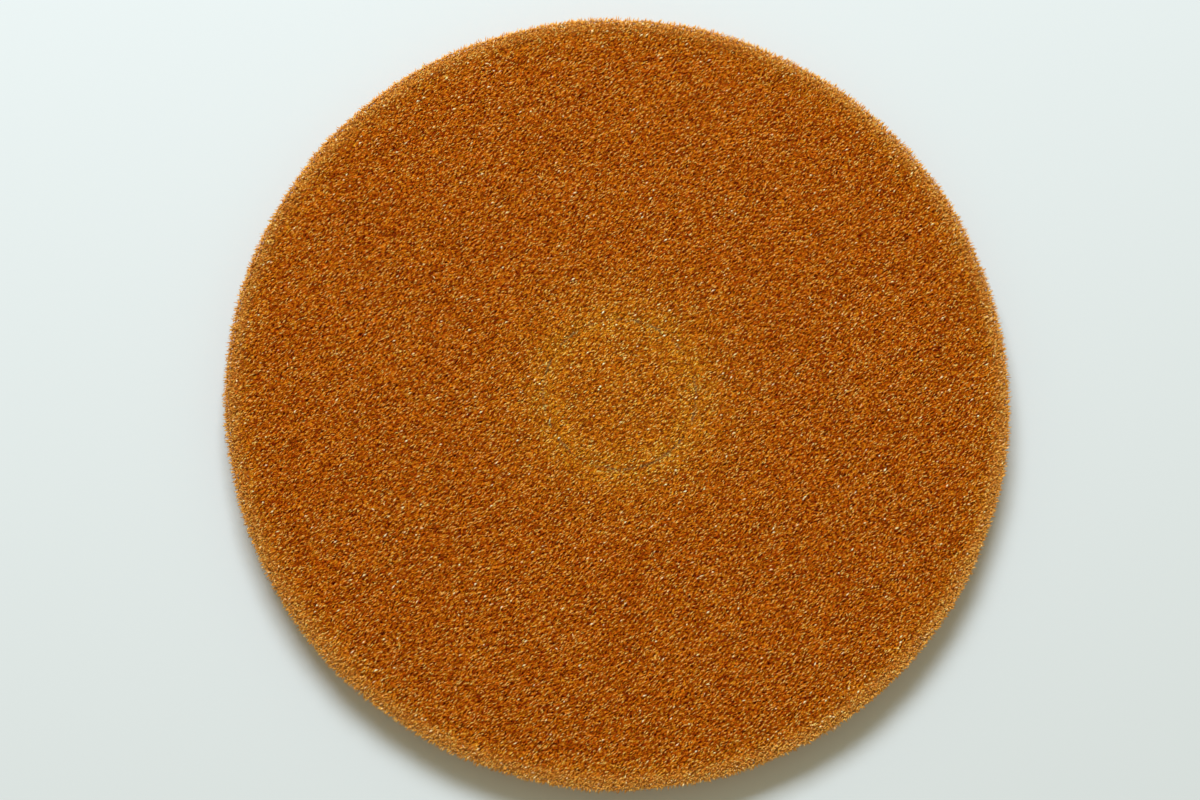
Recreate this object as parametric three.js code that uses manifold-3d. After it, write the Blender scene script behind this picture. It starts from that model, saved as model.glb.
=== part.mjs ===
// A floor polishing pad: one disc of curled nylon fibre, bonded at its crossings, with a centre plug.
// The web is lofty, so both faces are level only in places and sink into hollows between the fibres.
// A ring is die-cut round the plug. It stops short of a few bridges that keep plug and pad one piece.
// Units are millimetres. The pad lies on z = 0 with its axis on Z and the face that was photographed up.

import * as THREE from 'three';
import { mergeVertices } from 'three/addons/utils/BufferGeometryUtils.js';
import Module from 'manifold-3d';

// The disc, as the die cuts it.
const PAD_DIAMETER = 432;
const PAD_THICKNESS = 20;
const WALL_LEAN = 3.5; // how much less the foot's radius is than the widest part's
const RIM_UNEVENNESS = 0.6; // how far the cut edge wanders in and out

// The rounded edges of the web, soft above and tighter below.
const SHOULDER_WIDTH = 8;
const SHOULDER_DROP = 1.8;
const FOOT_WIDTH = 5;
const FOOT_RISE = 4;

// The centre plug, the groove that its cut leaves in each face, and the bridges across the cut.
const PLUG_DIAMETER = 84;
const CUT_WIDTH = 0.8;
const GROOVE_FLOOR = 1.4;
const GROOVE_DEPTH = 1.3;
const GROOVE_SHOULDER = 2.4;
const BEND_PLACE = 0.4; // where a flank bends, from the floor's border to the top
const BEND_SHARE = 0.28; // how much of the groove's depth is left at that bend
const BRIDGE_COUNT = 6;
const BRIDGE_WIDTH = 6;

// The hollows of the web. They are longer along the lay, the way most of the fibres run.
const LAY_ANGLE = 44;
const HOLLOW_LENGTH = 26;
const HOLLOW_WIDTH = 13;
const HOLLOW_DEPTH = 1.4;
const HOLLOW_SHARE = 0.55; // the part of the noise's range that sinks below the level face
const WALL_HOLLOW_DEPTH = 0.7;

// The spacing of the mesh's points on the upper face, on the underside and down the edge.
const FACE_STEP = 8.6;
const UNDERSIDE_STEP = 11.5;
const EDGE_STEP = 10.5;
const LOOSE_SHARE = 0.26; // how much of a step the points of the faces stray from their ring

const TURN = 2 * Math.PI;
const PAD_RADIUS = PAD_DIAMETER / 2;
const PLUG_RADIUS = PLUG_DIAMETER / 2;
const FACE_RADIUS = PAD_RADIUS - SHOULDER_WIDTH;
const UNDERSIDE_RADIUS = PAD_RADIUS - WALL_LEAN - FOOT_WIDTH;

const wasm = await Module();
wasm.setup();

// Value noise: a repeatable number from 0 to 1 at each whole pair, blended smoothly between them.
function cornerValue(column, row, layer) {
  const wave = Math.sin(column * 127.1 + row * 311.7 + layer * 74.7) * 43758.5453;
  return wave - Math.floor(wave);
}

function smooth(share) {
  return share * share * (3 - 2 * share);
}

function noise(u, v, layer) {
  const column = Math.floor(u);
  const row = Math.floor(v);
  const across = smooth(u - column);
  const near = THREE.MathUtils.lerp(
    cornerValue(column, row, layer), cornerValue(column + 1, row, layer), across);
  const far = THREE.MathUtils.lerp(
    cornerValue(column, row + 1, layer), cornerValue(column + 1, row + 1, layer), across);
  return THREE.MathUtils.lerp(near, far, smooth(v - row));
}

// How deep the web's hollow is at a point of a face: nothing on the level parts between the hollows.
function hollowDepth(x, y, layer) {
  const lay = THREE.MathUtils.degToRad(LAY_ANGLE);
  const along = (x * Math.cos(lay) + y * Math.sin(lay)) / HOLLOW_LENGTH;
  const across = (y * Math.cos(lay) - x * Math.sin(lay)) / HOLLOW_WIDTH;
  const sunk = noise(along, across, layer) - (1 - HOLLOW_SHARE);
  return HOLLOW_DEPTH * smooth(Math.max(0, sunk) / HOLLOW_SHARE);
}

// How far the cut edge stands in or out at an angle: three slow waves that don't repeat together.
function rimWander(angle) {
  const waves = Math.sin(3 * angle + 0.7) + Math.sin(8 * angle + 2.1) + Math.sin(17 * angle + 4.4);
  return RIM_UNEVENNESS * waves / 3;
}

// Stations of the section, from the middle of one face outwards. Each is a radius and how far it
// lies below the level face. Loose ones may stray from their ring, the others shape an edge.
function evenStations(from, to, step) {
  const count = Math.max(1, Math.round((to - from) / step));
  return Array.from({ length: count - 1 }, (_, index) => ({
    radius: THREE.MathUtils.lerp(from, to, (index + 1) / count),
    drop: 0,
    loose: true,
    step: (to - from) / count,
  }));
}

// The groove over the plug's cut: a flat floor with a flank on each side that rounds off at its top.
function grooveStations(step) {
  const halfFloor = GROOVE_FLOOR / 2;
  const halfTop = halfFloor + GROOVE_SHOULDER;
  const bend = THREE.MathUtils.lerp(halfFloor, halfTop, BEND_PLACE);
  const outline = [
    [-halfTop, 0], [-bend, BEND_SHARE], [-halfFloor, 1],
    [halfFloor, 1], [bend, BEND_SHARE], [halfTop, 0],
  ];
  return outline.map(([offset, share]) => ({
    radius: PLUG_RADIUS + offset,
    drop: share * GROOVE_DEPTH,
    loose: false,
    step,
  }));
}

function faceStations(edgeRadius, step) {
  const groove = grooveStations(Math.min(step, PLUG_RADIUS / 6));
  const inner = groove[0].radius;
  const outer = groove[groove.length - 1].radius;
  const edge = { radius: edgeRadius, drop: 0, loose: false, step };
  return [
    ...evenStations(0, inner, step), ...groove, ...evenStations(outer, edgeRadius, step), edge,
  ];
}

// The edge's section from the upper face's border down to the underside's: the soft shoulder, the
// wall that leans in towards the foot, and the foot's tighter rounding.
function edgeSection() {
  const footRadius = PAD_RADIUS - WALL_LEAN;
  const shoulderBase = PAD_THICKNESS - SHOULDER_DROP;
  const quarter = Math.PI / 2;
  const shoulder = [0.25, 0.5, 0.75, 1].map((share) => [
    FACE_RADIUS + SHOULDER_WIDTH * Math.sin(share * quarter),
    shoulderBase + SHOULDER_DROP * Math.cos(share * quarter),
  ]);
  const wall = [(PAD_RADIUS + footRadius) / 2, (shoulderBase + FOOT_RISE) / 2];
  const foot = [0, 0.33, 0.67].map((share) => [
    UNDERSIDE_RADIUS + FOOT_WIDTH * Math.cos(share * quarter),
    FOOT_RISE * (1 - Math.sin(share * quarter)),
  ]);
  return [...shoulder, wall, ...foot];
}

// A ring of points round the axis. The hollows always go into the web, so the faces stay under the
// level planes, and the edge stays inside the die's line.
function faceRing(station, level, inward, layer) {
  const count = Math.max(6, Math.round(TURN * station.radius / station.step));
  const stray = station.loose ? LOOSE_SHARE : 0;
  return Array.from({ length: count }, (_, index) => {
    const pick = cornerValue(index, station.radius, layer) - 0.5;
    const slip = cornerValue(station.radius, index, layer) - 0.5;
    const angle = TURN * (index + 2 * stray * pick) / count;
    const radius = station.radius + 2 * stray * slip * station.step;
    const x = radius * Math.cos(angle);
    const y = radius * Math.sin(angle);
    const depth = station.drop + hollowDepth(x, y, layer);
    return { angle, point: new THREE.Vector3(x, y, level + inward * depth) };
  });
}

function edgeRing([radius, height]) {
  const count = Math.round(TURN * PAD_RADIUS / EDGE_STEP);
  return Array.from({ length: count }, (_, index) => {
    const angle = TURN * index / count;
    const x = Math.cos(angle);
    const y = Math.sin(angle);
    const along = PAD_RADIUS * x / HOLLOW_WIDTH;
    const pit = WALL_HOLLOW_DEPTH * noise(along, (PAD_RADIUS * y + height) / HOLLOW_WIDTH, 3);
    const reach = radius - pit + rimWander(angle);
    return { angle, point: new THREE.Vector3(reach * x, reach * y, height) };
  });
}

// Joins two rings of points, which may differ in number, by walking round both at once.
function stitch(inner, outer, triangles) {
  let a = 0;
  let b = 0;
  while (a < inner.length || b < outer.length) {
    const innerNow = inner[a % inner.length];
    const outerNow = outer[b % outer.length];
    const innerNext = inner[(a + 1) % inner.length];
    const outerNext = outer[(b + 1) % outer.length];
    const innerTurn = innerNext.angle + (a + 1 >= inner.length ? TURN : 0);
    const outerTurn = outerNext.angle + (b + 1 >= outer.length ? TURN : 0);
    if (b >= outer.length || (a < inner.length && innerTurn <= outerTurn)) {
      triangles.push(innerNow.point, outerNow.point, innerNext.point);
      a += 1;
    } else {
      triangles.push(innerNow.point, outerNow.point, outerNext.point);
      b += 1;
    }
  }
}

// Closes the middle of a face with a fan round one point.
function fan(middle, ring, triangles, facesUp) {
  ring.forEach((corner, index) => {
    const next = ring[(index + 1) % ring.length];
    const pair = facesUp ? [corner.point, next.point] : [next.point, corner.point];
    triangles.push(middle, ...pair);
  });
}

// The uncut disc: one chain of rings from the middle of the upper face, over the edge and back to
// the middle of the underside.
function webDisc() {
  const upper = faceStations(FACE_RADIUS, FACE_STEP);
  const under = faceStations(UNDERSIDE_RADIUS, UNDERSIDE_STEP);
  const rings = [
    ...upper.map((station) => faceRing(station, PAD_THICKNESS, -1, 1)),
    ...edgeSection().map(edgeRing),
    ...under.reverse().map((station) => faceRing(station, 0, 1, 2)),
  ];
  const triangles = [];
  fan(new THREE.Vector3(0, 0, PAD_THICKNESS), rings[0], triangles, true);
  rings.slice(1).forEach((ring, index) => stitch(rings[index], ring, triangles));
  fan(new THREE.Vector3(0, 0, 0), rings[rings.length - 1], triangles, false);
  return new THREE.BufferGeometry().setFromPoints(triangles);
}

// One blade of the die: an arc as wide as the cut, from one bridge to the next, through the web.
function cutBlade(index) {
  const pitch = TURN / BRIDGE_COUNT;
  const halfBridge = BRIDGE_WIDTH / PLUG_RADIUS / 2;
  const start = index * pitch + halfBridge;
  const end = (index + 1) * pitch - halfBridge;
  const arc = new THREE.Shape();
  arc.absarc(0, 0, PLUG_RADIUS + CUT_WIDTH / 2, start, end, false);
  arc.absarc(0, 0, PLUG_RADIUS - CUT_WIDTH / 2, end, start, true);
  const past = GROOVE_DEPTH / 2;
  const blade = new THREE.ExtrudeGeometry(arc, {
    depth: PAD_THICKNESS - 2 * past, bevelEnabled: false, curveSegments: 7,
  });
  blade.translate(0, 0, past);
  return blade;
}

// A closed geometry as a solid that can be joined and cut, and a solid as a geometry again.
function toSolid(geometry) {
  const bare = geometry.clone();
  bare.deleteAttribute('normal');
  bare.deleteAttribute('uv');
  const merged = mergeVertices(bare, 1e-4);
  return new wasm.Manifold(new wasm.Mesh({
    numProp: 3,
    vertProperties: new Float32Array(merged.attributes.position.array),
    triVerts: new Uint32Array(merged.index.array),
  }));
}

function toGeometry(solid) {
  const mesh = solid.getMesh();
  const geometry = new THREE.BufferGeometry();
  geometry.setAttribute('position', new THREE.BufferAttribute(mesh.vertProperties, 3));
  geometry.setIndex(new THREE.BufferAttribute(mesh.triVerts, 1));
  geometry.computeVertexNormals();
  return geometry;
}

function makePad() {
  let pad = toSolid(webDisc());
  for (let index = 0; index < BRIDGE_COUNT; index += 1) {
    pad = pad.subtract(toSolid(cutBlade(index)));
  }
  const fibre = new THREE.MeshStandardMaterial({ color: 0x9c5414, roughness: 0.85, metalness: 0 });
  const mesh = new THREE.Mesh(toGeometry(pad), fibre);
  mesh.name = 'floor_pad';
  return mesh;
}

const model = new THREE.Group();
model.add(makePad());

export default model;
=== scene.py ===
# %% [markdown]
# A floor polishing pad, seen from almost straight above.
#
# The real pad is a lofty web: thousands of curled nylon fibres, sprayed with resin that glues them
# where they cross, then die-cut to a disc. No part of it is a hard surface. The eye sees short
# stretches of fibre with dark pores between them, a soft shoulder, and a thin ring where the
# centre plug is cut. So there are two kinds of piece here: one closed body that carries the form
# and the deeper web, and layers of real little fibres that lie on it and give it its nap.

# %% Tools and the shared frame
import math

import bpy
import numpy as np
from mathutils import Matrix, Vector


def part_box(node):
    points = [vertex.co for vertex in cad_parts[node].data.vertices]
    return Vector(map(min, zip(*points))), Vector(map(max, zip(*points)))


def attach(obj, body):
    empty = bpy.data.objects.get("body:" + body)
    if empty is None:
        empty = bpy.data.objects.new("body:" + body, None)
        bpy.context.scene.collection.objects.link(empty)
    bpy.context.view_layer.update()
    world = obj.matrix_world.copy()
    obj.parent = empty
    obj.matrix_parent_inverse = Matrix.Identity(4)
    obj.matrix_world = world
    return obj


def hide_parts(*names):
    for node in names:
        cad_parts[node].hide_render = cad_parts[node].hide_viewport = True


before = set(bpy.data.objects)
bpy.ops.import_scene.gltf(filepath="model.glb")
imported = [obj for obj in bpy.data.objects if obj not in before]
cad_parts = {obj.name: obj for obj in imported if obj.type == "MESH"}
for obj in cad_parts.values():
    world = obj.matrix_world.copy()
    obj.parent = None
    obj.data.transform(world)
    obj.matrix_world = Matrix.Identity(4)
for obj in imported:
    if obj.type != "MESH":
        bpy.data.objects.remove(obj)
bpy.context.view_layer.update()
low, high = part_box("floor_pad")
print("the solid's box in mm:", [round(1000 * (b - a), 1) for a, b in zip(low, high)])

# %% [markdown]
# Sizes are in metres. The thickness is read from the solid. The radius is a little less than the
# solid's 216 mm, because the fibres stand out from the cut edge by a millimetre or two, and the eye
# takes their tips for the outline. The rest are the small sizes of the rounded edges, of the cut ring
# and of the web itself. The lay is the way that most fibres run. Its angle was fitted to the photo
# here, and it isn't the solid's 44 degrees.

# %% Sizes
MM = 0.001
THICKNESS = high.z - low.z
RADIUS = 214.4 * MM
SHOULDER_WIDTH, SHOULDER_DROP = 8 * MM, 1.8 * MM
FOOT_WIDTH, FOOT_RISE = 5 * MM, 4 * MM
WALL_LEAN = 3.5 * MM
RIM_UNEVENNESS = 0.6 * MM
RIM_WAVES = ((3, 0.7), (8, 2.1), (17, 4.4))  # how many go round the pad, and where each starts
RIM_WAVES_FADE = 12  # the power of the reach with which they die away from the rim

PLUG_RADIUS = 42 * MM
GROOVE_HALF_FLOOR, GROOVE_SHOULDER, GROOVE_DEPTH = 0.7 * MM, 2.4 * MM, 1.3 * MM
GROOVE_STEEPNESS = 2.6

LAY = math.radians(38)
HOLLOW_LENGTH, HOLLOW_WIDTH, HOLLOW_DEPTH = 26 * MM, 13 * MM, 0.8 * MM
HOLLOW_START = 0.45  # noise below this leaves the web level
TUFT_LENGTH, TUFT_WIDTH, TUFT_DEPTH = 6 * MM, 3 * MM, 0.25 * MM
FIBRE_THICKNESS = 0.5 * MM
rng = np.random.default_rng(17)

# %% [markdown]
# The section of the pad is one line: out along the upper face, down into the cut and up again,
# over the soft shoulder, down the wall that leans in, round the foot and back along the underside.
# Both faces become round by the same trick. A point is given on a flat plane as x and y. Its
# distance from the middle is how far along the section it lies, and its direction is kept. So a
# fibre drawn on the flat plane can run off the face and over the shoulder without knowing it bends.

# %% The section as a line
LINE_STEP = 0.25 * MM
ARC_POINTS, WALL_POINTS = 60, 40


def groove(radius):
    """The drop below the level face: a steep-sided valley over the plug's cut, else nothing.
    It is depth x share^steepness. The share falls from 1 on the floor to 0 at the valley's top."""
    away = np.abs(radius - PLUG_RADIUS) - GROOVE_HALF_FLOOR
    return GROOVE_DEPTH * np.clip(1 - away / GROOVE_SHOULDER, 0, 1) ** GROOVE_STEEPNESS


def section_line():
    """Points (radius, height) from the middle of the upper face to the middle of the underside:
    level face, quarter ellipse, straight wall, quarter ellipse, level face."""
    quarter = np.linspace(0, np.pi / 2, ARC_POINTS)
    face = np.arange(0, RADIUS - SHOULDER_WIDTH, LINE_STEP)
    foot = RADIUS - WALL_LEAN
    under = np.arange(foot - FOOT_WIDTH, 0, -LINE_STEP)
    wall = np.linspace(0, 1, WALL_POINTS)[1:-1]
    radius = [
        face,
        RADIUS - SHOULDER_WIDTH + SHOULDER_WIDTH * np.sin(quarter),
        RADIUS - WALL_LEAN * wall,
        foot - FOOT_WIDTH + FOOT_WIDTH * np.cos(quarter),
        under[1:],
        [0.0],
    ]
    height = [
        THICKNESS - groove(face),
        THICKNESS - SHOULDER_DROP + SHOULDER_DROP * np.cos(quarter),
        (THICKNESS - SHOULDER_DROP) * (1 - wall) + FOOT_RISE * wall,
        FOOT_RISE - FOOT_RISE * np.sin(quarter),
        groove(under[1:]),
        [0.0],
    ]
    return np.concatenate(radius), np.concatenate(height)


line_radius, line_height = section_line()
line_length = np.concatenate([[0], np.cumsum(np.hypot(np.diff(line_radius), np.diff(line_height)))])
slope = np.stack([np.gradient(line_radius, line_length), np.gradient(line_height, line_length)])
slope /= np.hypot(*slope)
FULL = line_length[-1]
OUTWARD = slice(0, int(np.argmax(line_radius)) + 1)
SHOULDER_START = np.interp(RADIUS - SHOULDER_WIDTH, line_radius[OUTWARD], line_length[OUTWARD])
print(f"the section is {FULL / MM:.1f} mm long, its shoulder starts at {SHOULDER_START / MM:.1f} mm")

# %% [markdown]
# The web isn't even. It has slow hollows, and tufts a few millimetres across that run along the
# lay, the way that most fibres were combed. Value noise gives both: a repeatable random number at
# each crossing of a grid, blended smoothly between the crossings.

# %% Noise and the web's relief
COLUMN_FACTOR, ROW_FACTOR, SEED_FACTOR = 127.1, 311.7, 74.7
WAVE_SIZE = 43758.5453
TUFT_SEED = 5  # added to the hollows' seed, so that the tufts don't copy them


def crossing(column, row, seed):
    """A repeatable number from 0 to 1: what is left of a large sine once its whole part is gone."""
    turn = column * COLUMN_FACTOR + row * ROW_FACTOR + seed * SEED_FACTOR
    wave = np.sin(turn) * WAVE_SIZE
    return wave - np.floor(wave)


def noise(u, v, seed):
    """Value noise: the four crossings round (u, v), blended by 3t^2 - 2t^3 both ways."""
    column, row = np.floor(u), np.floor(v)
    across, along = u - column, v - row
    across, along = (t * t * (3 - 2 * t) for t in (across, along))
    near = crossing(column, row, seed) * (1 - across) + crossing(column + 1, row, seed) * across
    far = crossing(column, row + 1, seed) * (1 - across) + crossing(column + 1, row + 1, seed) * across
    return near * (1 - along) + far * along


def lay_noise(x, y, length, width, seed):
    """Noise stretched along the lay: its cells are length x width, turned by the lay's angle."""
    along = (x * math.cos(LAY) + y * math.sin(LAY)) / length
    across = (y * math.cos(LAY) - x * math.sin(LAY)) / width
    return noise(along, across, seed)


def relief(x, y, seed):
    """How far the web sinks below its level, as a depth: slow hollows plus tufts."""
    hollow = np.clip(lay_noise(x, y, HOLLOW_LENGTH, HOLLOW_WIDTH, seed) - HOLLOW_START, 0, 1)
    tuft = lay_noise(x, y, TUFT_LENGTH, TUFT_WIDTH, seed + TUFT_SEED)
    return HOLLOW_DEPTH * hollow + TUFT_DEPTH * tuft


def on_pad(x, y, lift, under=False):
    """Takes flat points to the pad: distance from the middle becomes length along the section,
    direction becomes the angle round the axis, and lift goes out along the section's normal."""
    reach = np.hypot(x, y)
    length = FULL - reach if under else reach
    radius = np.interp(length, line_length, line_radius)
    height = np.interp(length, line_length, line_height)
    out_radius = -np.interp(length, line_length, slope[1])
    out_height = np.interp(length, line_length, slope[0])
    angle = np.arctan2(y, x)
    waves = sum(np.sin(times * angle + start) for times, start in RIM_WAVES)
    near_rim = np.clip(radius / RADIUS, 0, 1) ** RIM_WAVES_FADE
    wander = RIM_UNEVENNESS / len(RIM_WAVES) * waves * near_rim
    radius = radius + wander + out_radius * lift
    return np.stack([radius * np.cos(angle), radius * np.sin(angle), height + out_height * lift], -1)

# %% [markdown]
# Big meshes go into Blender as whole arrays. Each array is handed over in one call, which takes a
# fraction of a second where a loop over vertices would take minutes.

# %% Meshes from arrays
def make_object(name, points, faces, material, uv=None, **attributes):
    """points is (n, 3), faces is (m, 3 or 4) of point numbers, uv is one pair for each corner of
    each face, and each attribute has one number for each point."""
    mesh = bpy.data.meshes.new(name)
    count, sides = faces.shape
    mesh.vertices.add(len(points))
    mesh.vertices.foreach_set("co", points.astype(np.float32).ravel())
    mesh.loops.add(count * sides)
    mesh.loops.foreach_set("vertex_index", faces.astype(np.int32).ravel())
    mesh.polygons.add(count)
    mesh.polygons.foreach_set("loop_start", np.arange(0, count * sides, sides, dtype=np.int32))
    if uv is not None:
        layer = mesh.uv_layers.new(name="OFBake")
        layer.data.foreach_set("uv", uv.astype(np.float32).ravel())
    for title, values in attributes.items():
        attribute = mesh.attributes.new(title, "FLOAT", "POINT")
        attribute.data.foreach_set("value", values.astype(np.float32).ravel())
    mesh.update(calc_edges=True)
    mesh.validate()
    mesh.shade_smooth()
    mesh.materials.append(material)
    made = bpy.data.objects.new(name, mesh)
    bpy.context.collection.objects.link(made)
    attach(made, "root")
    print(f"{name}: {len(points)} points, {count * (sides - 2)} triangles")
    return made

# %% [markdown]
# The finishes. Nylon staple coated with a tan resin is a saturated orange-brown: the resin takes
# nearly all the blue out of the light. Where the die has crushed the web, at the ring and at the
# rim, the coating is cracked and the fibre is paler and yellower.

# %% Colour and node helpers
def linear(hex_colour):
    """sRGB hex to linear: c/12.92 below 0.04045, else ((c + 0.055)/1.055)^2.4."""
    parts = [int(hex_colour[i:i + 2], 16) / 255 for i in (1, 3, 5)]
    return tuple(c / 12.92 if c < 0.04045 else ((c + 0.055) / 1.055) ** 2.4 for c in parts) + (1.0,)


def add(tree, kind, inputs=(), **settings):
    """Adds one node, sets its own properties, and feeds each named or numbered input with a value
    or with another node's socket."""
    node = tree.nodes.new(kind)
    for name, value in settings.items():
        setattr(node, name, value)
    for name, value in dict(inputs).items():
        if isinstance(value, bpy.types.NodeSocket):
            tree.links.new(value, node.inputs[name])
        else:
            node.inputs[name].default_value = value
    return node


def mix(tree, share, first, second, blend="MIX"):
    """A blend of two colours."""
    node = add(tree, "ShaderNodeMix", {0: share}, data_type="RGBA", blend_type=blend)
    for socket, value in ((node.inputs[6], first), (node.inputs[7], second)):
        if isinstance(value, bpy.types.NodeSocket):
            tree.links.new(value, socket)
        else:
            socket.default_value = value
    return node.outputs[2]


def soft_step(tree, value, start, full, strength):
    """0 at start, strength at full, and a smooth rise between them."""
    return add(tree, "ShaderNodeMapRange", {
        "Value": value, "From Min": start, "From Max": full, "To Min": 0.0, "To Max": strength,
    }, interpolation_type="SMOOTHSTEP").outputs[0]


def colour_ramp(tree, factor, stops):
    """The factor as a colour, by two or more stops of a position and a hex colour."""
    node = add(tree, "ShaderNodeValToRGB", {"Fac": factor})
    elements = node.color_ramp.elements
    for element, (position, colour) in zip((elements[0], elements[1]), (stops[0], stops[-1])):
        element.position, element.color = position, linear(colour)
    for position, colour in stops[1:-1]:
        elements.new(position).color = linear(colour)
    return node.outputs["Color"]


def new_material(name):
    """A node material with no nodes but the object's own coordinates, its tree, and those."""
    material = bpy.data.materials.new(name)
    material.use_nodes = True
    tree = material.node_tree
    tree.nodes.clear()
    place = add(tree, "ShaderNodeTexCoord").outputs["Object"]
    return material, tree, place

# %% [markdown]
# Both finishes share one group of nodes for the crushed zones. It turns the place into the distance
# from the pad's axis, and that into soft steps: the plug and the band along its cut, and the rim.
# There the colour is both lifted and multiplied. A lift alone would grey the pores, and a gain alone
# would leave them as dark as before. Very near the rim the fibre is nearly bare, so its own colour
# gives way to straw. The die leaves a line of dust in the cut, broken into stretches by noise.

# %% Crushed zones
CRUSHED_GAIN = (1.0, 1.32, 1.6, 1.0)
CRUSHED_TINT = (0.12, 0.066, 0.005, 1.0)
CUT_DUST = linear("#98885c")
RIM_PALE = linear("#fcbc56")

# Each zone is where it starts, where it is full, and how strong it is there. The first two are
# counted from the plug's cut, the next three from the pad's axis, and the last one is in the noise.
CUT_BAND = (14 * MM, 3 * MM, 0.36)
DUST_LINE = (1.1 * MM, 0.2 * MM, 0.65)
PLUG_ZONE = (95 * MM, 30 * MM, 0.46)
RIM_ZONE = (RADIUS - 22 * MM, RADIUS, 0.45)
BARE_EDGE = (RADIUS - 10 * MM, RADIUS + 1 * MM, 0.55)
DUST_PATCHES = (0.42, 0.6, 1.0)
DUST_PATCH_SIZE = 6 * MM


def crushed(tree, place, colour):
    """The colour, paler and yellower over the plug, along its cut and towards the rim, dusty in
    broken stretches of the cut's own line, and straw-coloured at the very edge."""
    flat = add(tree, "ShaderNodeVectorMath", {0: place, 1: (1, 1, 0)}, operation="MULTIPLY")
    reach = add(tree, "ShaderNodeVectorMath", {0: flat.outputs[0]}, operation="LENGTH").outputs["Value"]
    away = add(tree, "ShaderNodeMath", {0: reach, 1: PLUG_RADIUS}, operation="SUBTRACT").outputs[0]
    away = add(tree, "ShaderNodeMath", {0: away}, operation="ABSOLUTE").outputs[0]
    band = soft_step(tree, away, *CUT_BAND)
    plug = soft_step(tree, reach, *PLUG_ZONE)
    band = add(tree, "ShaderNodeMath", {0: band, 1: plug}, operation="ADD").outputs[0]
    rim = soft_step(tree, reach, *RIM_ZONE)
    tint = add(tree, "ShaderNodeMath", {0: band, 1: rim}, operation="MAXIMUM").outputs[0]
    line = soft_step(tree, away, *DUST_LINE)
    patch = add(tree, "ShaderNodeTexNoise", {
        "Vector": place, "Scale": 1 / DUST_PATCH_SIZE, "Detail": 2.0,
    })
    patch = soft_step(tree, patch.outputs["Fac"], *DUST_PATCHES)
    line = add(tree, "ShaderNodeMath", {0: line, 1: patch}, operation="MULTIPLY").outputs[0]
    edge = soft_step(tree, reach, *BARE_EDGE)
    tinted = mix(tree, tint, mix(tree, tint, colour, CRUSHED_GAIN, "MULTIPLY"), CRUSHED_TINT, "ADD")
    return mix(tree, edge, mix(tree, line, tinted, CUT_DUST), RIM_PALE)


# %% [markdown]
# The resin is sprayed on, so it doesn't lie evenly. Where it is thick the fibre is redder, and where
# it is thin the fibre is yellower. Soft noise a few fibres wide gives that: it stops the pad from
# being one flat orange.

# %% Uneven resin
THICK_RESIN = (1.04, 0.88, 0.9, 1.0)
THIN_RESIN = (1.0, 1.22, 1.25, 1.0)
RESIN_PATCH_SIZE = 1.6 * MM
RESIN_PATCHES = (0.36, 0.64, 1.0)


def resin_coat(tree, place, colour):
    """The colour multiplied by the thick or the thin resin's gain, as the noise says."""
    coat = add(tree, "ShaderNodeTexNoise", {
        "Vector": place, "Scale": 1 / RESIN_PATCH_SIZE, "Detail": 1.0,
    })
    coat = soft_step(tree, coat.outputs["Fac"], *RESIN_PATCHES)
    return mix(tree, 1.0, colour, mix(tree, coat, THICK_RESIN, THIN_RESIN), "MULTIPLY")

# %% [markdown]
# The deeper web, under the loose fibres. It can't be seen strand by strand, so its fibres are
# drawn: fine noise stretched along the lay and bent by a slower noise so that it curls. The same
# pattern is the bump, so what is drawn as a pore is also sunk. The pores are also painted near
# black, as painted shade in the web's recesses.

# %% Bonded web: resin-coated nylon staple, seen as a mass
CURL_SIZE, CURL_BEND = 5 * MM, 3.5 * MM
STRAND_WIDTH, STRAND_STRETCH = 0.75 * MM, 2.5
PORE_DEPTH = 1.2 * MM
# The dark end of these tones is painted shade in the pores.
WEB_TONES = ((0.36, "#4e1200"), (0.5, "#c65c02"), (0.66, "#ffa41c"))
WEB_ROUGHNESS = 0.62
SHEEN = 0.05


def bonded_web():
    material, tree, place = new_material("resin_bonded_nylon_web")
    curl = add(tree, "ShaderNodeTexNoise", {"Vector": place, "Scale": 1 / CURL_SIZE, "Detail": 1.0})
    curl = add(tree, "ShaderNodeVectorMath", {
        0: curl.outputs["Color"], 1: (0.5, 0.5, 0.5),
    }, operation="SUBTRACT").outputs[0]
    curl = add(tree, "ShaderNodeVectorMath", {
        0: curl, "Scale": CURL_BEND,
    }, operation="SCALE").outputs[0]
    bent = add(tree, "ShaderNodeVectorMath", {0: place, 1: curl}, operation="ADD").outputs[0]
    laid = add(tree, "ShaderNodeMapping", {
        "Vector": bent, "Rotation": (0, 0, LAY), "Scale": (STRAND_STRETCH, 1.0, 1.0),
    }, vector_type="TEXTURE").outputs[0]
    strands = add(tree, "ShaderNodeTexNoise", {
        "Vector": laid, "Scale": 1 / STRAND_WIDTH, "Detail": 1.5, "Roughness": 0.6,
    }).outputs["Fac"]
    coated = resin_coat(tree, place, colour_ramp(tree, strands, WEB_TONES))
    bump = add(tree, "ShaderNodeBump", {"Height": strands, "Distance": PORE_DEPTH, "Strength": 1.0})
    shader = add(tree, "ShaderNodeBsdfPrincipled", {
        "Base Color": crushed(tree, place, coated), "Roughness": WEB_ROUGHNESS,
        "Specular IOR Level": SHEEN, "Normal": bump.outputs[0],
    })
    add(tree, "ShaderNodeOutputMaterial", {"Surface": shader.outputs[0]})
    return material


# %% [markdown]
# A single strand is too thin to need a pattern. Its colour comes from one number, its tone, from
# deep red-brown to straw. The tones differ at random, but they also hold painted light: the lower
# layers get darker tones as painted shade, and the palest tones, straw to cream, are painted glints.
# The uneven resin and the crushed zones then change it, as they change the web below. A little sheen
# is left, since the cured resin isn't quite matt.

# %% Loose fibres: single strands of the same nylon
# The stops above 0.92 give the painted glints their colour.
FIBRE_TONES = (
    (0.0, "#902a00"), (0.25, "#c85900"), (0.5, "#e88712"),
    (0.75, "#f6aa3a"), (0.92, "#fdca6a"), (1.0, "#ffeebc"),
)
FIBRE_ROUGHNESS = 0.45


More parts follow.
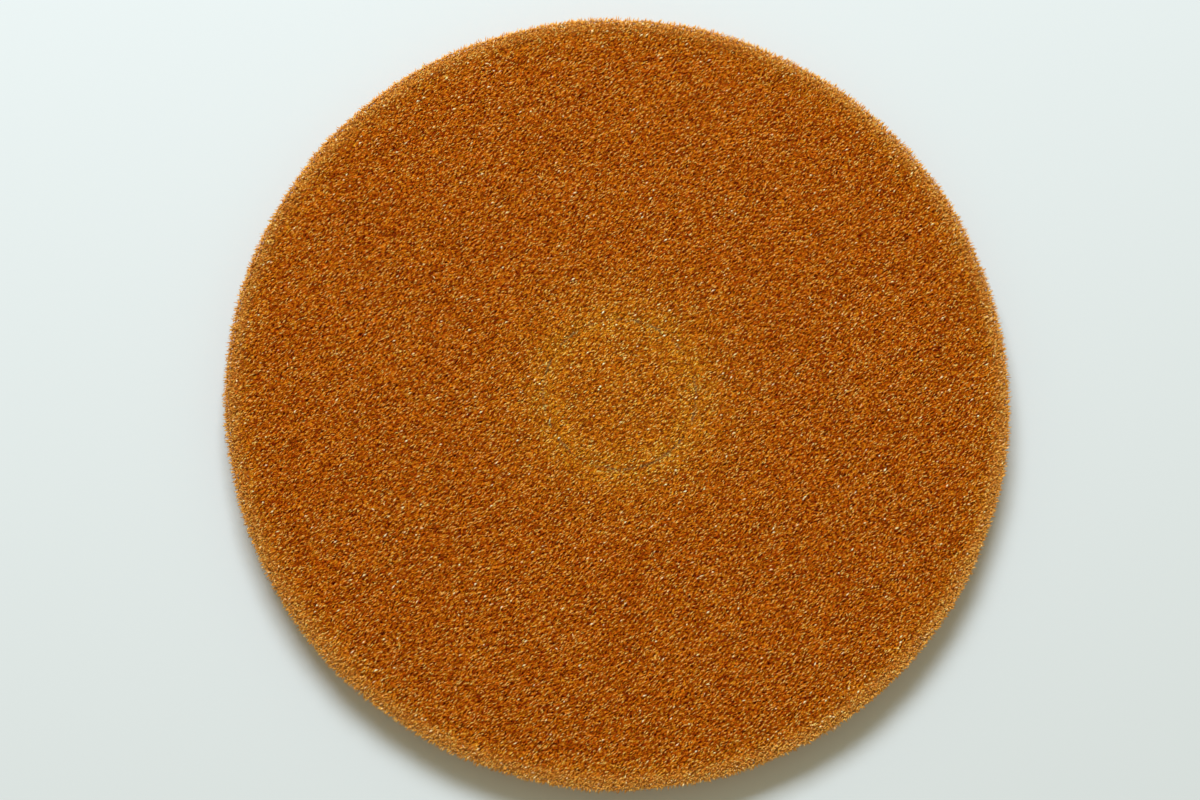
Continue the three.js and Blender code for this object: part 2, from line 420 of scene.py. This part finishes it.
def single_fibre():
    material, tree, place = new_material("resin_coated_nylon_fibre")
    tone = add(tree, "ShaderNodeAttribute", attribute_name="tone").outputs["Fac"]
    coated = resin_coat(tree, place, colour_ramp(tree, tone, FIBRE_TONES))
    shader = add(tree, "ShaderNodeBsdfPrincipled", {
        "Base Color": crushed(tree, place, coated), "Roughness": FIBRE_ROUGHNESS,
        "Specular IOR Level": SHEEN,
    })
    add(tree, "ShaderNodeOutputMaterial", {"Surface": shader.outputs[0]})
    return material


web_finish = bonded_web()
fibre_finish = single_fibre()
print("finishes:", web_finish.name, fibre_finish.name)

# %% [markdown]
# The body. A square grid of cells is bent into a disc so that its squares turn into rings, and no
# cell is pinched at the middle. The rings crowd together at the plug's cut and from the shoulder
# outwards, where the form turns fastest. One such disc is the upper face and runs down to the middle
# of the section's line, a second is the underside, and they share their last ring. The plug's cut
# is only a valley here: unlike the solid, this body isn't cut through.

# %% The pad's body
RINGS = 86
SPLIT = FULL / 2
DENSITY_POINTS = 4000
CUT_CROWDING, CUT_CROWDING_REACH = 1.3, 8 * MM
SHOULDER_CROWDING, SHOULDER_LEAD = 0.5, 4 * MM
BODY_SUNK, BODY_ROUGHNESS, BORDER_SUNK = 0.95 * MM, 0.45 * MM, 0.5 * MM


def ring_lengths(total):
    """Distances of the rings from the middle, closer where the density is higher."""
    reach = np.linspace(0, total, DENSITY_POINTS)
    near_cut = np.abs(reach - PLUG_RADIUS) < CUT_CROWDING_REACH
    density = 1 + CUT_CROWDING * near_cut + SHOULDER_CROWDING * (reach > SHOULDER_START - SHOULDER_LEAD)
    share = np.concatenate([[0], np.cumsum(density[1:])])
    return np.interp(np.linspace(0, 1, RINGS + 1), share / share[-1], reach)


def square_to_disc(total):
    """Cell (i, j) of a square goes to ring max(|i|, |j|), at an angle that is 45 degrees times the
    smaller over the larger, counted from the nearest of the four half axes."""
    side = np.arange(-RINGS, RINGS + 1)
    i, j = (part.astype(float) for part in np.meshgrid(side, side, indexing="ij"))
    wide = np.abs(i) >= np.abs(j)
    big, small = np.where(wide, i, j), np.where(wide, j, i)
    turn = np.pi / 4 * small / np.where(big == 0, 1, big)
    reach = ring_lengths(total)[np.abs(big).astype(int)] * np.sign(big)
    ahead, aside = reach * np.cos(turn), reach * np.sin(turn)
    return np.where(wide, ahead, aside), np.where(wide, aside, ahead)


def body_arrays():
    """Points and faces of both discs with their relief, joined where they share a ring."""
    side = 2 * RINGS + 1
    number = np.arange(side * side).reshape(side, side)
    x, y = square_to_disc(SPLIT)
    border = np.ones((side, side), bool)
    border[1:-1, 1:-1] = False
    points, faces = [], []
    for under in (False, True):
        sunk = BODY_SUNK + relief(x, y, 2 if under else 1) + BODY_ROUGHNESS * rng.random(x.shape)
        sunk[border] = BORDER_SUNK
        points.append(on_pad(x, y, -sunk, under).reshape(-1, 3))
        cells = np.stack([number[:-1, :-1], number[1:, :-1], number[1:, 1:], number[:-1, 1:]], -1)
        cells = cells.reshape(-1, 4)
        if under:
            joined = np.where(border, number, number + side * side).ravel()
            cells = joined[cells][:, ::-1]
        faces.append(cells)
    return np.concatenate(points), np.concatenate(faces)


points, faces = body_arrays()
used = np.unique(faces)
renumber = np.zeros(len(points), int)
renumber[used] = np.arange(len(used))
body = make_object("web_body", points[used], renumber[faces], web_finish)
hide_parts("floor_pad")

# %% [markdown]
# The loose fibres. Each is a little closed spindle of three sides, because at this size a rounder
# one would look the same. It walks at an even pace while its heading turns, so it bends. The ends of
# a lying fibre dive back into the web, where the bond would be. Only the stretch between two bonds
# is made, as only that is seen. Most headings follow the lay. A number for its tone goes with each,
# so neighbours differ in colour.

# %% Fibres as curled spindles
KNOTS = 3
SPINDLE_FULLNESS = 0.35  # the power of a sine for the thickness: lower is fuller towards the tips
NO_LENGTH = 1e-12  # keeps a vector of no length from dividing by zero
# Fibres paler than this tone are painted glints, highlights painted into their colour, and they are
# made thicker.
GLINT_TONE, GLINT_SWELLING = 0.93, 1.9
CELL_MARGIN, CELL_FILL = 0.12, 0.76
TIP_DIVE = 0.5 * MM
NAP_FOLLOWS = 0.8  # how much of the relief below them the fibres follow
UNDERSIDE_GAP = 0.35 * MM
ROOT_DIVE = 0.6 * MM
STRAIGHT_KNOTS = (0, 0.62, 1)


def headings(count, spread, stray):
    """Angles round the lay with a bell-shaped spread. A share of them, stray, point anywhere."""
    angle = LAY + spread * rng.standard_normal(count)
    return np.where(rng.random(count) < stray, np.pi * rng.random(count), angle)


def curled_paths(x, y, heading, length, curl, knots):
    """Flat paths through (x, y): the running sum of equal steps along a heading that turns by curl
    from one end to the other, moved so that the middle of the path is at its place."""
    share = (np.arange(knots - 1) + 0.5) / (knots - 1) - 0.5
    angle = heading[:, None] + curl[:, None] * share
    step = length[:, None] / (knots - 1)
    walk_x = np.cumsum(np.pad(step * np.cos(angle), ((0, 0), (1, 0))), 1)
    walk_y = np.cumsum(np.pad(step * np.sin(angle), ((0, 0), (1, 0))), 1)
    path_x = x[:, None] + walk_x - walk_x.mean(1, keepdims=True)
    path_y = y[:, None] + walk_y - walk_y.mean(1, keepdims=True)
    return path_x, path_y


def spindles(paths, outward, thickness):
    """Three points round each inner knot of a path, at right angles to it, and one at each tip."""
    along = paths[:, 2:] - paths[:, :-2]
    side = np.cross(along, outward[:, 1:-1])
    side /= np.linalg.norm(side, axis=-1, keepdims=True) + NO_LENGTH
    rise = np.cross(side, along)
    rise /= np.linalg.norm(rise, axis=-1, keepdims=True) + NO_LENGTH
    inner = paths.shape[1] - 2
    profile = np.sin(np.pi * (np.arange(inner) + 1) / (inner + 1)) ** SPINDLE_FULLNESS
    swell = 0.5 * thickness[:, None] * profile
    corners = []
    for turn in (math.pi / 2, math.pi * 7 / 6, math.pi * 11 / 6):
        offset = math.cos(turn) * side + math.sin(turn) * rise
        corners.append(paths[:, 1:-1] + swell[..., None] * offset)
    rings = np.stack(corners, 2).reshape(len(paths), inner * 3, 3)
    return np.concatenate([paths[:, :1], rings, paths[:, -1:]], 1)


def spindle_faces(inner):
    """Triangles of one spindle, and each corner's place (along, round) for its map, from 0 to 1."""
    last = 1 + 3 * inner
    faces, places = [], []

    def number(ring, k):
        return 0 if ring == 0 else last if ring > inner else 1 + 3 * (ring - 1) + k % 3

    for k in range(3):
        for ring in range(inner + 1):
            here, there = (ring, k), (ring, k + 1)
            up, over = (ring + 1, k), (ring + 1, k + 1)
            triangles = [(here, there, over), (here, over, up)]
            if ring == 0:
                triangles = [(here, over, up)]
            if ring == inner:
                triangles = [(here, there, over)]
            for triangle in triangles:
                faces.append([number(*corner) for corner in triangle])
                places.append([(r / (inner + 1), (k + 0.5) / 3 if r in (0, inner + 1) else j / 3)
                               for r, j in triangle])
    return np.array(faces), np.array(places)


def fibre_mesh(name, paths, outward, thickness, tone):
    """One mesh of many spindles. The palest, which are painted glints, are a little thicker. Each has
    its own cell in the map for baked colours."""
    count = len(paths)
    glint_thickening = np.where(tone > GLINT_TONE, GLINT_SWELLING, 1.0)
    points = spindles(paths, outward, thickness * glint_thickening)
    one, places = spindle_faces(paths.shape[1] - 2)
    faces = (one[None] + points.shape[1] * np.arange(count)[:, None, None]).reshape(-1, 3)
    grid = math.ceil(math.sqrt(count))
    cell = np.stack([np.arange(count) % grid, np.arange(count) // grid], -1)[:, None, None, :]
    uv = (cell + CELL_MARGIN + CELL_FILL * places[None]) / grid
    tones = np.repeat(tone[:, None], points.shape[1], 1)
    points, uv = points.reshape(-1, 3), uv.reshape(-1, 2)
    return make_object(name, points, faces, fibre_finish, uv=uv, tone=tones)


def lying_fibres(name, x, y, under, length, curl, lift, thickness, tone, heading):
    """Fibres that lie on the web. Their heights follow the relief below them: sunk at the tips,
    and raised in the middle by lift. On the underside their middle lines stay above the floor."""
    flat_x, flat_y = curled_paths(x, y, heading, length, curl, KNOTS)
    arch = np.sin(np.pi * np.linspace(0, 1, KNOTS)) * (lift[:, None] + TIP_DIVE) - TIP_DIVE
    level = arch - NAP_FOLLOWS * relief(flat_x, flat_y, 2 if under else 1)
    paths = on_pad(flat_x, flat_y, level, under)
    outward = on_pad(flat_x, flat_y, level + 1 * MM, under) - paths
    if under:
        paths[..., 2] = np.maximum(paths[..., 2], UNDERSIDE_GAP)
    return fibre_mesh(name, paths, outward, thickness, tone)


def standing_tips(name, x, y, length, lean, thickness, tone, heading):
    """Cut ends that leave the web in a straight line: lean is how far out they go for one step
    along their heading. Headings are turned round where they would point back into the pad."""
    root = on_pad(x, y, -ROOT_DIVE - NAP_FOLLOWS * relief(x, y, 1))
    outward = (on_pad(x, y, 1 * MM) - on_pad(x, y, 0 * MM)) / (1 * MM)
    way = np.stack([np.cos(heading), np.sin(heading), 0 * heading], -1)
    inward = way[:, 0] * x + way[:, 1] * y < 0
    way[inward] *= -1
    way += lean[:, None] * outward
    way /= np.linalg.norm(way, axis=-1, keepdims=True)
    share = np.array(STRAIGHT_KNOTS)
    paths = root[:, None] + share[None, :, None] * (length[:, None] * way)[:, None]
    outward = np.repeat(outward[:, None], KNOTS, 1)
    return fibre_mesh(name, paths, outward, thickness, tone)

# %% [markdown]
# Where the fibres go. On the upper face they come in four layers, from flat ones that close the web
# to ones that stand up in low loops. Their tones are painted light and shade: the low layers are
# painted darker and the top layer paler, as if light reached it first, and that is what makes the
# pores look deep. The places follow a sunflower's spiral, which covers a disc evenly, with hardly a
# clump or a bare spot.

# %% Layers on the upper face
GOLDEN_ANGLE = 2.399963
PLACE_STRAY = 0.5 * MM
TONE_SPREAD, TONE_LIMIT = 0.33, 0.92
# The palest tones, above the limit, are for painted glints: a highlight painted into a few fibres'
# colour.
GLINT_TONES = (0.95, 1)


def scatter(count, inner, outer):
    """A sunflower's spiral over the ring from inner to outer: each turn is the golden angle, and
    the square of the reach grows evenly. Every place is then moved a little at random."""
    share = (np.arange(count) + 0.5) / count
    reach = np.sqrt(inner**2 + (outer**2 - inner**2) * share)
    angle = GOLDEN_ANGLE * np.arange(count) + rng.uniform(0, 2 * np.pi)
    stray = PLACE_STRAY * rng.standard_normal((2, count))
    return reach * np.cos(angle) + stray[0], reach * np.sin(angle) + stray[1]


def tones(count, middle, glint_share):
    """A bell round the middle tone, with a small share of fibres in the palest tones, which are painted
    glints.
    """
    bell = np.clip(middle + TONE_SPREAD * rng.standard_normal(count), 0, TONE_LIMIT)
    return np.where(rng.random(count) < glint_share, rng.uniform(*GLINT_TONES, count), bell)


# Each layer has its lift and its fibres' length in mm, its middle tone, and its share of painted
# glints.
# The middle tone is lower for the lower layers, as painted shade.
LAYERS = ((0.1, 3.4, 0.2, 0), (0.4, 3.4, 0.37, 0), (0.7, 3.3, 0.53, 0.006), (1.0, 3.2, 0.63, 0.014))
FACE_REACH = SHOULDER_START + 10 * MM
count = 28000
for layer, (lift, span, middle, glint_share) in enumerate(LAYERS):
    x, y = scatter(count, 0, FACE_REACH)
    lying_fibres(
        f"face_fibres_{layer}", x, y, False,
        length=span * MM * rng.uniform(0.6, 1.4, count),
        curl=rng.choice([-1, 1], count) * rng.uniform(0.1, 0.9, count),
        lift=lift * MM * rng.uniform(0.3, 1.5, count),
        thickness=FIBRE_THICKNESS * rng.uniform(0.8, 1.5, count),
        tone=tones(count, middle, glint_share),
        heading=headings(count, 0.2, 0.05),
    )

# %% [markdown]
# The die's cut edge. Its fibres lie against the wall and round the foot, more at random than on the
# face, because the cut crosses the layers of the web.

# %% Fibres of the cut edge
count = 9000
x, y = scatter(count, SHOULDER_START + 7 * MM, SPLIT + 9 * MM)
lying_fibres(
    "edge_fibres", x, y, False,
    length=3.4 * MM * rng.uniform(0.6, 1.4, count),
    curl=rng.choice([-1, 1], count) * rng.uniform(0.1, 1.2, count),
    lift=0.6 * MM * rng.uniform(0.2, 1.5, count),
    thickness=FIBRE_THICKNESS * rng.uniform(0.7, 1.2, count),
    tone=tones(count, 0.45, 0.02),
    heading=headings(count, 0.5, 0.3),
)

# %% [markdown]
# The nap at the rim. Where the die cut a fibre, its end springs out straight. These tips leave the
# shoulder along the lay and partly outwards, so the pad's outline is soft and ragged and never a
# drawn line.

# %% Tips that stand out of the rim
count = 16000
x, y = scatter(count, SHOULDER_START + 1 * MM, SHOULDER_START + 12 * MM)
standing_tips(
    "rim_tips", x, y,
    length=2.7 * MM * rng.uniform(0.4, 1.6, count),
    lean=rng.uniform(0.3, 1.2, count),
    thickness=FIBRE_THICKNESS * rng.uniform(0.8, 1.4, count),
    tone=tones(count, 0.56, 0.02),
    heading=headings(count, 0.45, 0.3),
)

# %% [markdown]
# The underside is the same web, pressed flatter by the pad's own weight, so one layer of low fibres
# is enough.

# %% Fibres of the underside
count = 9000
x, y = scatter(count, 0, SPLIT - 16 * MM)
lying_fibres(
    "underside_fibres", x, y, True,
    length=5 * MM * rng.uniform(0.6, 1.4, count),
    curl=rng.choice([-1, 1], count) * rng.uniform(0.3, 1.6, count),
    lift=0.3 * MM * rng.uniform(0.2, 1.0, count),
    thickness=FIBRE_THICKNESS * rng.uniform(0.75, 1.2, count),
    tone=tones(count, 0.45, 0.02),
    heading=headings(count, 0.55, 0.25),
)

# %% [markdown]
# The stage: a pale floor, a broad soft light from beyond the pad's far edge, and a little light
# from all round. The camera looks down from the near side at about 79 degrees.

# %% Floor, light and camera
FLOOR_HALF_SIDE = 6.0
FLOOR_HEIGHT = -0.2 * MM
FLOOR_COLOUR, LAMP_COLOUR, ROOM_COLOUR = "#d5dddd", "#edf3ff", "#fff3d0"
ROOM_STRENGTH = 0.42
NEARLY_UP = (0.01, 0, 1)  # a little off the vertical, so that it is never in line with a lamp


def make_floor():
    """A square as wide as a room, just below the pad's underside."""
    around = ((-1, -1), (1, -1), (1, 1), (-1, 1))
    corners = [(x * FLOOR_HALF_SIDE, y * FLOOR_HALF_SIDE, FLOOR_HEIGHT) for x, y in around]
    material, tree, _ = new_material("painted_board")
    shader = add(tree, "ShaderNodeBsdfPrincipled", {
        "Base Color": linear(FLOOR_COLOUR), "Roughness": 0.9, "Specular IOR Level": 0.1,
    })
    add(tree, "ShaderNodeOutputMaterial", {"Surface": shader.outputs[0]})
    mesh = bpy.data.meshes.new("floor")
    mesh.from_pydata(corners, [], [(0, 1, 2, 3)])
    mesh.materials.append(material)
    floor = bpy.data.objects.new("floor", mesh)
    bpy.context.collection.objects.link(floor)


def aim(thing, place, target, up=(0, 1, 0)):
    """Points a lamp's or camera's -Z from its place to the target, with its top towards up."""
    back = np.array(place, float) - np.array(target, float)
    back /= np.linalg.norm(back)
    right = np.cross(up, back)
    right /= np.linalg.norm(right)
    top = np.cross(back, right)
    rows = np.eye(4)
    rows[:3] = np.stack([right, top, back, np.array(place, float)], 1)
    thing.matrix_world = Matrix(rows.tolist())


def make_lamp(name, place, size, power, colour):
    """An oblong area lamp that looks at the middle of the pad. Its power is in watts."""
    lamp = bpy.data.lights.new(name, "AREA")
    lamp.shape = "RECTANGLE"
    lamp.size, lamp.size_y = size
    lamp.energy = power
    lamp.color = linear(colour)[:3]
    holder = bpy.data.objects.new(name, lamp)
    bpy.context.collection.objects.link(holder)
    aim(holder, place, (0, 0, 0), up=NEARLY_UP)


make_floor()
make_lamp("window", place=(-0.42, 2.05, 2.35), size=(1.8, 1.08), power=120, colour=LAMP_COLOUR)

world = bpy.data.worlds.new("room")
bpy.context.scene.world = world
world.use_nodes = True
world.node_tree.nodes.clear()
sky = add(world.node_tree, "ShaderNodeBackground", {
    "Color": linear(ROOM_COLOUR), "Strength": ROOM_STRENGTH,
})
add(world.node_tree, "ShaderNodeOutputWorld", {"Surface": sky.outputs[0]})

CAMERA_DISTANCE = 1.5
FOCAL_LENGTH, SENSOR_WIDTH = 82.2, 36  # in millimetres, as Blender's cameras count
TILT = math.radians(11.3)
NEAR_SIDE = np.array([-0.27, -0.963])
OFF_MIDDLE = (-10.9 * MM, -3.8 * MM)  # where on the face the camera looks
target = np.array([*OFF_MIDDLE, THICKNESS])
back = np.array([*(NEAR_SIDE * math.sin(TILT)), math.cos(TILT)])
camera = bpy.data.objects.new("camera", bpy.data.cameras.new("camera"))
camera.data.lens = FOCAL_LENGTH
camera.data.sensor_width = SENSOR_WIDTH
camera.data.clip_start = 0.05
bpy.context.collection.objects.link(camera)
aim(camera, target + back * CAMERA_DISTANCE, target)
bpy.context.scene.camera = camera
bpy.context.scene.view_settings.view_transform = "Standard"
print("the camera stands", CAMERA_DISTANCE, "m away")
